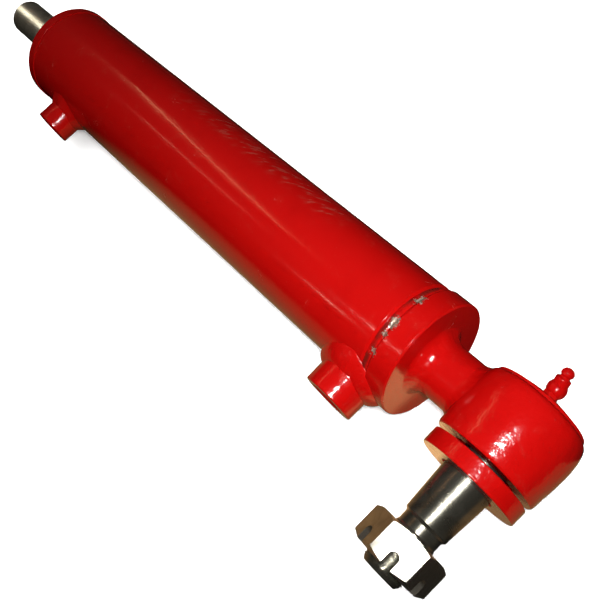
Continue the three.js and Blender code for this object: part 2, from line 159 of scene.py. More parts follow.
def arc(radius, middle, start, end, steps=24):
    """A sphere's outline between two places along its axis."""
    a, b = math.acos((start - middle) / radius), math.acos((end - middle) / radius)
    angles = [a + (b - a) * i / steps for i in range(steps + 1)]
    return [(radius * math.sin(t), middle + radius * math.cos(t)) for t in angles]


def turned(name, outline, place, closed=False, facets=160, shape=None):
    """A turned piece. place puts (radius, along, angle) in space; shape bends radius and along."""
    verts, rows = [], []
    for radius, along in outline:
        if radius < 1e-6:
            rows.append([len(verts)])
            verts.append(place(0, along, 0))
            continue
        rows.append(range(len(verts), len(verts) + facets))
        for i in range(facets):
            angle = 2 * math.pi * i / facets
            r, a = shape(radius, along, angle) if shape else (radius, along)
            verts.append(place(r, a, angle))
    faces = []
    pairs = list(zip(rows, rows[1:])) + ([(rows[-1], rows[0])] if closed else [])
    for low, high in pairs:
        for i in range(facets):
            j = (i + 1) % facets
            if len(low) == 1:
                faces.append((low[0], high[j], high[i]))
            elif len(high) == 1:
                faces.append((low[i], low[j], high[0]))
            else:
                faces.append((low[i], low[j], high[j], high[i]))
    return mesh_object(name, verts, faces)


def on_barrel(radius, along, angle):
    return (along, -radius * math.sin(angle), radius * math.cos(angle))


def on_stud(x=HOUSING_X):
    return lambda radius, along, angle: (x + radius * math.sin(angle), -along, radius * math.cos(angle))


def ring(name, outline_at, facets):
    """A ring joined from one closed outline to the next all the way round."""
    verts, faces = [], []
    for i in range(facets):
        verts += outline_at(2 * math.pi * i / facets)
    count = len(verts) // facets
    for i in range(facets):
        for j in range(count):
            a, b = i * count, (i + 1) % facets * count
            k = (j + 1) % count
            faces.append((a + j, b + j, b + k, a + k))
    return mesh_object(name, verts, faces)


def prism_faces(count):
    """Both ends and the sides of a prism whose ends have count points each."""
    sides = [(i, (i + 1) % count, count + (i + 1) % count, count + i) for i in range(count)]
    return [tuple(range(count)), tuple(range(count, 2 * count)), *sides]


def prism(name, outline, turn, low, high):
    """A straight prism along the stud; outline points are (x, z) before it is turned."""
    c, s = math.cos(turn), math.sin(turn)
    flat = [(HOUSING_X + x * c + z * s, z * c - x * s) for x, z in outline]
    verts = [(x, -low, z) for x, z in flat] + [(x, -high, z) for x, z in flat]
    return mesh_object(name, verts, prism_faces(len(flat)))


def baked(obj):
    """Applies the modifiers."""
    graph = bpy.context.evaluated_depsgraph_get()
    mesh = bpy.data.meshes.new_from_object(obj.evaluated_get(graph))
    obj.modifiers.clear()
    obj.data = mesh
    return obj


def combine(obj, other, how):
    tool = obj.modifiers.new(how, "BOOLEAN")
    tool.operation = how
    tool.object = other
    tool.solver = "EXACT"
    baked(obj)
    bpy.data.objects.remove(other)
    return obj


def softened(obj, width, angle=30, segments=3):
    """Rounds the sharp edges."""
    tool = obj.modifiers.new("edges", "BEVEL")
    tool.width = width * MM
    tool.segments = segments
    tool.angle_limit = math.radians(angle)
    return baked(obj)


def ripple(angle, count, depth):
    """The overlapping crescents that a weld pool leaves."""
    return depth * abs(math.sin(angle * count / 2)) ** 0.6


def uneven(point, size, amount):
    """Smooth noise, the same on every run."""
    return amount * noise.noise(Vector(point) / size)


def finish(obj, material, body, nodes, crease=35):
    obj.data.materials.clear()
    obj.data.materials.append(material)
    obj.data.shade_smooth()
    obj.data.set_sharp_from_angle(angle=math.radians(crease))
    tool = obj.modifiers.new("normals", "WEIGHTED_NORMAL")
    tool.keep_sharp = True
    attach(obj, body)
    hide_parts(*nodes)
    return obj


# ---- materials ----


class Shader:
    """A material and short ways to wire its nodes."""

    def __init__(self, name, **values):
        self.material = bpy.data.materials.new(name)
        self.material.use_nodes = True
        self.tree = self.material.node_tree
        self.surface = self.tree.nodes["Principled BSDF"]
        for socket, value in values.items():
            self.surface.inputs[socket.replace("_", " ")].default_value = value
        self.place = self.node("ShaderNodeTexCoord").outputs["Object"]

    def node(self, kind, **settings):
        made = self.tree.nodes.new(kind)
        for key, value in settings.items():
            setattr(made, key, value)
        return made

    def feed(self, socket, value):
        if isinstance(value, bpy.types.NodeSocket):
            self.tree.links.new(value, socket)
        else:
            socket.default_value = value

    def put(self, name, value):
        self.feed(self.surface.inputs[name], value)

    def scaled(self, scale):
        node = self.node("ShaderNodeMapping")
        self.feed(node.inputs["Vector"], self.place)
        node.inputs["Scale"].default_value = scale
        return node.outputs[0]

    def noise(self, size, detail=4, roughness=0.5, where=None, warp=0):
        """Noise whose blotches are about size metres across."""
        node = self.node("ShaderNodeTexNoise")
        self.feed(node.inputs["Vector"], where or self.place)
        node.inputs["Scale"].default_value = 1 / size
        node.inputs["Detail"].default_value = detail
        node.inputs["Roughness"].default_value = roughness
        node.inputs["Distortion"].default_value = warp
        return node.outputs[0]

    def band(self, value, low, high, out_low=0.0, out_high=1.0):
        """Maps low..high to out_low..out_high, smoothly, and holds it beyond."""
        node = self.node("ShaderNodeMapRange", interpolation_type="SMOOTHSTEP")
        for socket, number in zip(node.inputs, (value, low, high, out_low, out_high)):
            self.feed(socket, number)
        return node.outputs[0]

    def math(self, how, a, b=0.0):
        node = self.node("ShaderNodeMath", operation=how)
        self.feed(node.inputs[0], a)
        self.feed(node.inputs[1], b)
        return node.outputs[0]

    def most(self, *values):
        total = values[0]
        for value in values[1:]:
            total = self.math("MAXIMUM", total, value)
        return total

    def mix(self, amount, a, b):
        """Colours a to b."""
        node = self.node("ShaderNodeMix", data_type="RGBA")
        self.feed(node.inputs["Factor"], amount)
        self.feed(node.inputs[6], a)
        self.feed(node.inputs[7], b)
        return node.outputs[2]

    def blend(self, amount, a, b):
        """Numbers a to b."""
        node = self.node("ShaderNodeMix", data_type="FLOAT")
        self.feed(node.inputs["Factor"], amount)
        self.feed(node.inputs[2], a)
        self.feed(node.inputs[3], b)
        return node.outputs[0]

    def near(self, spot, reach, ragged):
        """1 round a place in the frame, falling to 0 at a ragged edge reach metres away."""
        node = self.node("ShaderNodeVectorMath", operation="DISTANCE")
        self.feed(node.inputs[0], self.place)
        node.inputs[1].default_value = spot
        return self.band(self.math("ADD", node.outputs["Value"], ragged), reach * 0.55, reach, 1, 0)

    def axis(self, direction, start=0.0):
        """How far a point lies along a direction, in metres."""
        node = self.node("ShaderNodeVectorMath", operation="DOT_PRODUCT")
        self.feed(node.inputs[0], self.place)
        node.inputs[1].default_value = direction
        return self.math("SUBTRACT", node.outputs["Value"], start)

    def bumps(self, *layers):
        """layers are (height, distance in metres)."""
        normal = None
        for height, distance in layers:
            node = self.node("ShaderNodeBump")
            node.inputs["Distance"].default_value = distance
            self.feed(node.inputs["Height"], height)
            if normal:
                self.feed(node.inputs["Normal"], normal)
            normal = node.outputs[0]
        self.put("Normal", normal)


def rgb(red, green, blue):
    return (red, green, blue, 1)


RED = rgb(0.62, 0.0035, 0.0028)
DEEP_RED = rgb(0.47, 0.0015, 0.0012)
DUSTY_RED = rgb(0.60, 0.045, 0.030)
RUBBED_RED = rgb(0.50, 0.085, 0.060)
# the dark red of the painted shade in the cap weld's groove
GROOVE_SHADE_RED = rgb(0.10, 0.012, 0.008)
BARE_STEEL = rgb(0.50, 0.46, 0.40)
PRIMER = rgb(0.50, 0.40, 0.30)
RUST = rgb(0.13, 0.055, 0.025)
OIL_STAIN = rgb(0.10, 0.07, 0.04)

# soft pale rubs on the barrel: which way they run, which way is across them, and their size
RUB_ALONG, RUB_ACROSS = (0.72, 0.46, -0.53), (-0.70, 0.475, -0.54)
RUB_LENGTH, RUB_WIDTH = 0.009, 0.003
GROOVE_X = ORIGIN.x - 0.0158


def rubs_on_barrel(s):
    """The rubs lie aslant in one long patch on the barrel's upper far side."""
    slant = s.node("ShaderNodeCombineXYZ")
    s.feed(slant.inputs[0], s.axis([part / RUB_LENGTH for part in RUB_ALONG]))
    s.feed(slant.inputs[1], s.axis([part / RUB_WIDTH for part in RUB_ACROSS]))
    dashes = s.noise(1, 2, 0.5, slant.outputs[0])
    patch_x = s.math("MULTIPLY", s.band(s.axis(ALONG), ORIGIN.x - 0.240, ORIGIN.x - 0.150),
                     s.band(s.axis(ALONG), ORIGIN.x - 0.090, ORIGIN.x - 0.070, 1, 0))
    side = s.axis(-STUD, ORIGIN.dot(-STUD))
    patch_y = s.math("MULTIPLY", s.band(side, 0.012, 0.018), s.band(side, 0.024, 0.028, 1, 0))
    return s.math("MULTIPLY", s.band(dashes, 0.47, 0.68), s.math("MULTIPLY", patch_x, patch_y))


def painted_shade_in_groove(s):
    """Painted shade: a broken dark line all round, in the groove of the cap weld, where shade falls."""
    off_groove = s.math("ABSOLUTE", s.axis(ALONG, GROOVE_X))
    return s.math("MULTIPLY", s.band(off_groove, 0.0006, 0.0021, 1, 0),
                  s.band(s.noise(0.009, 4), 0.38, 0.60))


def chipped_paint(s, chips):
    """Where the paint has gone, with a ragged edge, and the colour that shows there."""
    ragged = s.math("MULTIPLY", s.math("SUBTRACT", s.noise(0.0014, 6, 0.75), 0.5), 0.0095)
    chipped = s.most(*(s.near(OWN @ Vector(on_barrel(TUBE_R, x, -turn)), reach, ragged)
                       for x, turn, reach in chips))
    bare = s.mix(s.band(s.noise(0.0009, 4, 0.7), 0.44, 0.60), PRIMER, RUST)
    return chipped, s.mix(s.band(s.noise(0.0016, 3), 0.56, 0.62), bare, BARE_STEEL)


def enamel(name, wave=0.00005, chips=(), rubs=0.0):
    """Brushed-on red enamel: runs and orange peel, dulled patches, specks, rubs and chips, with painted shade in
    the weld groove wherever chips are given.
    """
    s = Shader(name, Coat_Weight=0.25, Coat_Roughness=0.05, Specular_IOR_Level=0.42)
    clouds = s.noise(0.035, 5, 0.6)
    specks = s.band(s.noise(0.0011, 2), 0.70, 0.76)
    dulled = s.band(s.noise(0.012, 6, 0.65, warp=0.6), 0.56, 0.72)
    colour = s.mix(s.math("MULTIPLY", s.band(clouds, 0.45, 0.72), 0.35), RED, DEEP_RED)
    colour = s.mix(s.math("MULTIPLY", dulled, 0.20), colour, DUSTY_RED)
    colour = s.mix(s.math("MULTIPLY", specks, 0.35), colour, DUSTY_RED)
    rough = s.blend(dulled, 0.15, 0.30)
    if rubs:
        rubbed = rubs_on_barrel(s)
        colour = s.mix(s.math("MULTIPLY", rubbed, rubs), colour, RUBBED_RED)
        rough = s.blend(rubbed, rough, 0.38)
    height = s.math("ADD", s.noise(0.0045, 3), s.math("MULTIPLY", specks, 0.8))
    if chips:
        # painted shade: the cap weld's groove is darkened where shade falls
        colour = s.mix(s.math("MULTIPLY", painted_shade_in_groove(s), 0.75), colour, GROOVE_SHADE_RED)
        chipped, bare = chipped_paint(s, chips)
        colour = s.mix(chipped, colour, bare)
        rough = s.blend(chipped, rough, 0.42)
        s.put("Metallic", s.math("MULTIPLY", chipped, 0.25))
        height = s.math("SUBTRACT", height, s.math("MULTIPLY", chipped, 1.5))
    s.put("Base Color", colour)
    s.put("Roughness", rough)
    s.bumps((height, wave * 2), (s.noise(0.0019, 2), wave * 1.5), (s.noise(0.014, 2), wave * 5))
    return s.material


def steel(name, colour, dark, across, rough=0.24, grain=0.00002, stain=0.5, metallic=1.0):
    """Turned or ground steel: fine rings across an axis, cloudy oil film and small stains."""
    s = Shader(name, Metallic=metallic)
    ring_width, ring_length = 0.0003, 0.02
    squeeze = [1 / ring_width if abs(part) > 0.5 else 1 / ring_length for part in across]
    rings = s.noise(1, 3, 0.6, s.scaled(squeeze))
    film = s.band(s.noise(0.010, 5, 0.6, warp=0.8), 0.35, 0.70)
    spots = s.band(s.noise(0.0028, 5, 0.7), 0.60, 0.74)
    base = s.mix(film, colour, dark)
    base = s.mix(s.math("MULTIPLY", s.band(rings, 0.3, 0.7), 0.25), base, dark)
    s.put("Base Color", s.mix(s.math("MULTIPLY", spots, stain), base, OIL_STAIN))
    s.put("Roughness", s.math("ADD", s.blend(film, rough, rough + 0.07), s.math("MULTIPLY", rings, 0.06)))
    s.bumps((rings, grain), (spots, grain * 0.6))
    return s.material


def plain(name, colour, dark, rough, grain, depth, **values):
    """Cast, moulded or bare stock with a mottled skin."""
    s = Shader(name, **values)
    s.put("Base Color", s.mix(s.band(s.noise(0.006, 5, 0.6), 0.35, 0.7), colour, dark))
    s.put("Roughness", s.blend(s.noise(0.003, 4), rough - 0.08, rough + 0.10))
    s.bumps((s.noise(grain, 4, 0.6), depth))
    return s.material


# along the weld groove: x in mm, turn from up towards the far side, and reach in metres
CHIPS_X = -13.2
WELD_CHIPS = [(CHIPS_X, math.radians(turn), reach) for turn, reach in
              ((25, 0.0023), (20, 0.0021), (-5, 0.0029), (-9, 0.0024), (-19, 0.0020), (-37, 0.0021),
               (-74, 0.0023), (-86, 0.0020), (118, 0.0027), (176, 0.0023))]

red_tube = enamel("red_enamel_tube", 0.00003, WELD_CHIPS, rubs=0.55)
red_cap = enamel("red_enamel_cap", 0.00005, WELD_CHIPS)
red_weld = enamel("red_enamel_weld", 0.00007, WELD_CHIPS)
red_cast = enamel("red_enamel_casting", 0.00009)
red_port = enamel("red_enamel_port", 0.00009)
ground = steel("ground_steel_stud", rgb(0.21, 0.20, 0.16), rgb(0.11, 0.102, 0.076), STUD, 0.18, 0.00003,
               metallic=0.85)
chrome = steel("ground_steel_rod", rgb(0.50, 0.475, 0.39), rgb(0.32, 0.30, 0.23), ALONG, 0.26, 0.00010,
               metallic=0.8)
zinc = steel("plated_nut", rgb(0.60, 0.57, 0.49), rgb(0.42, 0.39, 0.31), STUD, 0.30, 0.00001, 0.25)
rubber = plain("black_rubber", rgb(0.018, 0.018, 0.017), rgb(0.030, 0.028, 0.026), 0.62, 0.0007, 0.00004)
carried_looks = {
    "bronze": steel("bronze", rgb(0.50, 0.30, 0.12), rgb(0.34, 0.19, 0.07), ALONG, 0.32),
    "spring_steel": steel("spring_steel", rgb(0.16, 0.16, 0.17), rgb(0.08, 0.08, 0.09), STUD, 0.36),
    "cast_iron": plain("cast_iron", rgb(0.16, 0.155, 0.15), rgb(0.09, 0.085, 0.08), 0.5, 0.0006,
                       0.00005, Metallic=0.9),
    "white_plastic": plain("white_plastic", rgb(0.72, 0.69, 0.60), rgb(0.60, 0.56, 0.46), 0.42,
                           0.0009, 0.00002),
    "plain_nut": steel("plain_nut", rgb(0.45, 0.44, 0.41), rgb(0.30, 0.29, 0.26), ALONG, 0.3),
    "black_rubber": rubber,
}

# ---- barrel ----


def port_hole(port):
    outline = [(0, BORE_R - 6), (port["drill"], BORE_R - 6), (port["drill"], TUBE_R + 6), (0, TUBE_R + 6)]
    return turned("hole", outline, on_stud(port["x"]), facets=48)


tube = turned("barrel_tube_fine", rounded([
    (BORE_R, TUBE_ROD_X, 0.3), (TUBE_R, TUBE_ROD_X, 0.5), *evenly(TUBE_R, -332.0, -20.0, 12.0),
    (TUBE_R, -18.6, 0.5), (TUBE_R - 1.2, TUBE_CAP_X, 0.3), (BORE_R, TUBE_CAP_X, 0.3),
], closed=True), on_barrel, closed=True, facets=224)
for port in (BASE_PORT, ROD_PORT):
    combine(tube, port_hole(port), "DIFFERENCE")
finish(tube, red_tube, "barrel", ["barrel_tube"])


def cap_shape(radius, along, angle):
    """The end cap's edges were dressed by hand, so they wander a little."""
    if radius > 31 and along > -14.5:
        point = on_barrel(radius, along, angle)
        return radius + uneven(point, 7, 0.10), along + uneven(point, 9, 0.12)
    return radius, along


cap = turned("end_cap_fine", rounded([
    (0, -18), (BORE_R - 0.3, -18, 0.4), (BORE_R - 0.3, -13.8), (31.2, -13.8, 0.5),
    (CAP_R, -12.2, 0.8), *evenly(CAP_R, -11, -1.6, 2.4), (CAP_R, -0.7, 0.5), (32.1, 0, 0.4),
    (30, 0), (24, 0), (12, 0), (0, 0),
]), on_barrel, facets=224, shape=cap_shape)
finish(cap, red_cap, "barrel", ["end_cap"])


def cap_weld_outline(angle):
    """A shallow rippled bead that sits low in the groove between tube and cap."""
    toe, start, width = 30.6, -17.6, 4.2
    crown = 31.55 + uneven((6 * math.sin(angle), 6 * math.cos(angle), 0), 1.1, 0.45)
    shift = uneven((9 * math.cos(angle), 9 * math.sin(angle), 5), 1.3, 0.5)
    points = [(BORE_R + 0.3, -17.2), (30.2, -17.2)]
    for k in range(11):
        t = k / 10
        bulge = math.sin(math.pi * t) ** 0.7
        wave = ripple(angle + 0.012 * math.cos(math.pi * (t - 0.5)), 92, 0.12) * bulge
        points.append((toe + (crown - toe) * bulge + wave,
                       start + width * t + shift * math.sin(math.pi * t) * 0.5))
    points += [(30.2, -13.8), (BORE_R + 0.3, -13.8)]
    return [on_barrel(r, a, angle) for r, a in points]


finish(ring("cap_weld_fine", cap_weld_outline, 736), red_weld, "barrel", ["cap_weld"], 60)

# ---- ports ----

PORT_PITCH, PORT_DEPTH = 1.6, 0.8


def thread_cut(turns, depth):
    """0 at the crest of a screw thread, depth at its root."""
    t = abs((turns % 1) * 2 - 1)
    return depth * min(max((t - 0.26) / 0.52, 0), 1)


def port_boss(name, port):
    face, thread, drill, radius = port["face"], port["thread"], port["drill"], port["radius"]
    bottom = face - port["depth"]
    outline = rounded([
        (drill, 27.0), (radius, 27.0), *evenly(radius, 28, face - 1.8, 2.0), (radius, face, 0.9),
        (radius - 1.5, face), (thread + 1.2, face, 0.35), (thread, face - 1.3),
    ]) + evenly(thread, face - 1.45, bottom, 0.16) + [(drill, bottom - 2)]

    def shape(r, along, angle):
        if abs(r - thread) < 1e-6 and bottom + 0.5 < along < face - 1.4:
            cut = thread_cut(along / PORT_PITCH - angle / (2 * math.pi), PORT_DEPTH)
            return r + PORT_DEPTH - cut, along
        if r > radius - 1.6:
            point = on_stud(port["x"])(r, along, angle)
            return r + uneven(point, 6, 0.14), along + uneven(point, 7, 0.08)
        return r, along

    return turned(name, outline, on_stud(port["x"]), closed=True, facets=128, shape=shape)


def port_bead(name, port, crescents):
    """A fillet bead round the boss, rippled: a bulge below 2 makes it full, above 2 hollow."""
    inner = port["radius"] - 0.3

    def outline_at(angle):
        def place(radius, lift):
            z = radius * math.cos(angle)
            return (port["x"] + radius * math.sin(angle), -(math.sqrt(TUBE_R ** 2 - z ** 2) + lift), z)

        wander = uneven((math.sin(angle) * 5, math.cos(angle) * 5, port["x"]), 2.2, 0.8)
        width = port["weld"] + wander
        points = [place(inner, -0.9)]
        for k in range(15):
            t = k / 14 * math.pi / 2
            wave = ripple(angle + 0.10 * math.sin(2 * t), crescents, 0.10) * math.sin(2 * t)
            out, up = math.cos(t) ** port["bulge"], math.sin(t) ** port["bulge"]
            points.append(place(inner + width * out + wave * math.cos(t),
                                0.95 * width * up + wave * math.sin(t) - 0.15))
        return points

    return ring(name, outline_at, 448)


for port, label, crescents in ((BASE_PORT, "base_port", 38), (ROD_PORT, "rod_port", 30)):
    finish(port_boss(label + "_boss_fine", port), red_port, "barrel", [label + "_boss"])
    finish(port_bead(label + "_weld_fine", port, crescents), red_port, "barrel",
           [label + "_weld"], 60)

# ---- neck and housing ----

HOUSING_OUTLINE = [(24.3, -15), (25.8, -14.4), (26.9, -13), (27.9, -9.8), (28.5, -4.7), (28.7, 0.8),
                   (28.3, 7.9), (27.8, 14), (27.4, 19.4), (26.6, 20.8)]


def housing_radius(along):
    """The forged housing's radius at a place along the stud."""
    along = min(max(along, -15), 20.8)
    for (r0, a0), (r1, a1) in zip(HOUSING_OUTLINE, HOUSING_OUTLINE[1:]):
        if along <= a1:
            return r0 + (r1 - r0) * (along - a0) / (a1 - a0)
    return HOUSING_OUTLINE[-1][0]


def forged(radius, along, angle):
    """Makes a skin a little lumpy, as forged and painted."""
    if radius > 23.5:
        point = on_stud()(radius, along, angle)
        return radius + uneven(point, 11, 0.22) + uneven(point, 3.5, 0.05), along
    return radius, along


def neck_shape(radius, along, angle):
    if radius > NECK_R - 0.45:
        return radius + uneven(on_barrel(radius, along, angle), 8, 0.12), along
    return radius, along


neck = turned("neck_fine", rounded([
    (0, -0.6), (NECK_R, -0.6), *evenly(NECK_R, 0.5, 27.0, 2.2), (NECK_R, 27.8), (0, 27.8),
]), on_barrel, facets=128, shape=neck_shape)
finish(neck, red_cast, "barrel", ["neck"])


def hollow(angle, wide, tall, crescents, depth):
    """A hollow fillet's outline, from (wide, 0) to (0, tall), with faint crescents."""
    points = []
    for k in range(15):
        t = k / 14 * math.pi / 2
        wave = ripple(angle + 0.08 * math.sin(2 * t), crescents, depth) * math.sin(2 * t)
        points.append((wide * (1 - math.sin(t)) + wave, tall * (1 - math.cos(t)) + wave))
    return points


def neck_cap_outline(angle):
    wander = uneven((4 * math.sin(angle), 4 * math.cos(angle), 2), 2.0, 1.2)
    points = [(NECK_R - 0.6, -0.3), (NECK_R + 6.0, -0.3)]
    points += [(NECK_R - 0.05 + across, up - 0.05)
               for across, up in hollow(angle, 6.2 + wander, 8.6 + wander, 34, 0.06)]
    points.append((NECK_R - 0.6, 8.0))
    return [on_barrel(r, a, angle) for r, a in points]


finish(ring("neck_cap_weld_fine", neck_cap_outline, 384), red_cast, "barrel",
       ["neck_cap_weld"], 60)


def neck_housing_outline(angle):
    def place(radius, back):
        along, z = radius * math.cos(angle), radius * math.sin(angle)
        surface = math.sqrt(housing_radius(along) ** 2 - z ** 2)
        return (HOUSING_X - surface - back, -along, z)

    wander = uneven((4 * math.sin(angle), 4 * math.cos(angle), 11), 2.0, 0.8)
    points = [place(NECK_R - 0.6, -1.2), place(NECK_R + 3.4, -0.4)]
    points += [place(NECK_R - 0.05 + across, up - 0.1)
               for across, up in hollow(angle, 3.8 + 0.4 * wander, 4.8 + wander, 32, 0.12)]
    points.append(place(NECK_R - 0.6, 4.2))
    return points


finish(ring("neck_housing_weld_fine", neck_housing_outline, 384), red_cast, "barrel",
       ["neck_housing_weld"], 60)

housing = turned("ball_housing_fine", rounded([
    *smooth(HOUSING_OUTLINE), (17.5, 20.8, 0.4), (16.5, 19.8, 0.3), (16.5, 13.5, 0.3),
    (22.5, 13.5, 0.3), (22.5, -15, 0.2),
], closed=True), on_stud(), closed=True, facets=192, shape=forged)
finish(housing, red_cast, "barrel", ["ball_housing"])


def cap_dome():
    """The outline of the domed cap: a rim, a shallow dome and a hole for the grease fitting."""
    rim, top, apex, crown, hole = 24.7, -16.6, -20.9, 22.8, 3.2
    seat, plug, back = -15.05, 22.3, -11.5
    hole_edge = apex + 0.07
    radius = (crown ** 2 + (top - apex) ** 2) / (2 * (top - apex))
    dome = arc(radius, apex + radius, top, hole_edge, 16)[::-1]
    return rounded([
        (hole, back), (hole, hole_edge), *dome[1:-1], (crown, top, 0.4), (rim - 0.2, top + 0.2, 0.4),
        (rim, top + 0.8), (rim, seat), (plug, seat), (plug, back),
    ], closed=True)


finish(turned("housing_cap_fine", cap_dome(), on_stud(), closed=True, facets=160, shape=forged),
       red_cast, "barrel", ["housing_cap"])

# ---- grease fitting ----


def hexagon(flats):
    corner = flats / math.sqrt(3)
    return [(corner * math.sin(k * math.pi / 3), corner * math.cos(k * math.pi / 3)) for k in range(6)]


def grease_fitting():
    """A short shank and hexagon, then a ball with the nipple's head leaning out of it."""
    shank, ball, pole, elbow = 2.9, 4.9, 4.88, -27
    tilt = math.radians(30)
    side = Vector((1, 0, 0))
    axis = Vector((0, math.cos(tilt), math.sin(tilt)))
    third = axis.cross(side)

    def on_head(radius, along, angle):
        point = Vector((HOUSING_X, -elbow, 0)) + axis * along
        return tuple(point + side * radius * math.sin(angle) + third * radius * math.cos(angle))

    fitting = turned("grease_fitting_fine", rounded(
        [(0, -12), (shank, -12, 0.2), (shank, elbow + 1), (0, elbow + 1)]), on_stud(), facets=64)
    nut = prism("hex", hexagon(7.0), 0, elbow + 3.4, elbow + 6.4)
    combine(fitting, softened(nut, 0.35), "UNION")
    sphere = [(0, elbow - ball), *arc(ball, elbow, elbow - pole, elbow + pole, 28), (0, elbow + ball)]
    combine(fitting, turned("ball", sphere, on_stud(), facets=64), "UNION")
    head = turned("head", rounded([
        (0, 1), (3.8, 1), (3.8, 6, 0.5), (2.5, 6.4, 0.25), (2.45, 7.3, 0.3), (3.15, 8.2, 0.5),
        (3.15, 9.5, 0.6), (2.2, 10.9, 0.6), (1.1, 11.4, 0.2), (0.45, 11.4, 0.1), (0.3, 10.9), (0, 10.9),
    ]), on_head, facets=64)
    return combine(fitting, head, "UNION")


finish(grease_fitting(), red_cast, "barrel", ["grease_fitting"])

# ---- dust cover ----

seal = turned("dust_seal_fine", rounded([
    (15.2, 22.9, 0.3), (17.0, 22.8), (18.0, 22.4, 0.3), (19.5, 22.4, 0.3), (20, 23.0, 0.3), (20, 25, 0.3),
    (15.2, 25, 0.3),
], closed=True), on_stud(), closed=True, facets=128)
finish(seal, rubber, "dust_cover", ["dust_seal"])


def disc_shape(radius, along, angle):
    if radius > 25:
        point = on_stud()(radius, along, angle)
        return radius + uneven(point, 6, 0.10), along + uneven(point, 8, 0.08)
    return radius, along


disc = turned("dust_disc_fine", rounded([
    (20.3, 23, 0.2), (26.3, 23, 0.6), *evenly(26.3, 24, 30.4, 2.1), (26.3, 31.6, 0.7),
    (24, 31.6), (19, 31.6), (14.4, 31.6, 0.5), (14.4, 25.3, 0.2), (20.3, 25.3, 0.2),
], closed=True), on_stud(), closed=True, facets=192, shape=disc_shape)
finish(disc, red_port, "dust_cover", ["dust_disc"])

# ---- stud and nut ----


def stud():
    """The ball, its waist, the taper, the relief, the thread and the chamfered, drilled end."""
    flat, waist = -9.5, 12
    thread_start, thread_end, tip = 64.1, NUT_FACE + 1.6, 86.4
    chamfer = (THREAD_R - 9) / (86.7 - thread_end)
    outline = [(0, flat), *arc(17.5, 3, flat, 3 + math.sqrt(17.5 ** 2 - waist ** 2), 40)]
    outline += rounded([(waist, 15.9), (waist, 21.5, 1.0), (13.9, 23.0, 0.6), *evenly(13.34, 30, 31.6, 1.6),
                        (11.70, 57.2, 0.7), (10.4, 58.4, 1.2), (10.4, 63.2, 0.6), (THREAD_R, 63.9)])
    outline += evenly(THREAD_R, thread_start, thread_end, 0.1)
    outline += [(THREAD_R - chamfer * (a - thread_end), a) for _, a in evenly(0, thread_end, tip, 0.1)[1:]]
    outline += rounded([(9.15, 86.45), (9.0, 86.7, 0.1), (7, 86.7), (2.4, 86.7, 0.3), (0, 85.2)])

    def shape(radius, along, angle):
        if thread_start <= along <= tip and radius > 9.1:
            cut = THREAD_R - thread_cut(along / THREAD_PITCH - angle / (2 * math.pi), THREAD_DEPTH)
            # it deepens over its first millimetre
            fade = min(along - thread_start, 1)
            return min(radius, radius * (1 - fade) + cut * fade), along
        return radius, along

    piece = turned("ball_stud_fine", outline, on_stud(), facets=144, shape=shape)
    pin_r, half = 2.2, 20
    circle = [(pin_r * math.sin(k * math.pi / 16), pin_r * math.cos(k * math.pi / 16)) for k in range(32)]
    pin_hole = prism("hole", circle, 0, -half, half)
    # the hole crosses the thread in line with two of the nut's slots
    spot = OWN @ Vector((HOUSING_X, -(NUT_FACE - 4.8), 0))
    home = OWN @ Vector((HOUSING_X, 0, 0))
    lean = Matrix.Rotation(NUT_TURN + math.pi / 3, 4, -STUD)
    aim = Matrix.Rotation(math.pi / 2, 4, ALONG)
    pin_hole.data.transform(Matrix.Translation(spot) @ lean @ aim @ Matrix.Translation(-home))
    return combine(piece, pin_hole, "DIFFERENCE")


finish(stud(), ground, "stud", ["ball_stud"], 50)


def castle_nut():
    """A hexagon with both ends turned, a countersunk bore and three round-bottomed slots across."""
    width, depth, reach = 5.6, 8, 30
    floor = NUT_FACE - depth + width / 2
    bore_r, sink_r = 11.0, 12.6
    nut = prism("castle_nut_fine", hexagon(NUT_FLATS), NUT_TURN - math.pi / 6, NUT_BACK, NUT_FACE)
    ends = turned("ends", [
        (0, NUT_BACK), (18.2, NUT_BACK), (NUT_CORNER_R + 0.3, NUT_BACK + 1.6),
        (NUT_CORNER_R + 0.3, 80.1), (17.2, NUT_FACE), (0, NUT_FACE),
    ], on_stud(), facets=144)
    combine(nut, ends, "INTERSECT")
    bore = turned("bore", [
        (0, NUT_BACK - 1), (sink_r, NUT_BACK - 1), (bore_r, NUT_BACK + 1),
        (bore_r, NUT_FACE - 1), (sink_r, NUT_FACE + 1), (0, NUT_FACE + 1),
    ], on_stud(), facets=96)
    combine(nut, bore, "DIFFERENCE")
    bottom = [(-width / 2 * math.cos(math.pi * i / 20), floor - width / 2 * math.sin(math.pi * i / 20))
              for i in range(1, 20)]
    section = [(-width / 2, NUT_FACE + 3), (-width / 2, floor), *bottom,
               (width / 2, floor), (width / 2, NUT_FACE + 3)]
    for k in range(3):
        turn = NUT_TURN + k * math.pi / 3
        c, s = math.cos(turn), math.sin(turn)
        verts = [(HOUSING_X + a * c + z * s, -b, z * c - a * s) for z in (-reach, reach) for a, b in section]
        slot = mesh_object("slot", verts, prism_faces(len(section)))
        combine(nut, slot, "DIFFERENCE")
    return softened(nut, 0.22, 24)


finish(castle_nut(), zinc, "stud", ["castle_nut"], 28)

# ---- rod end ----

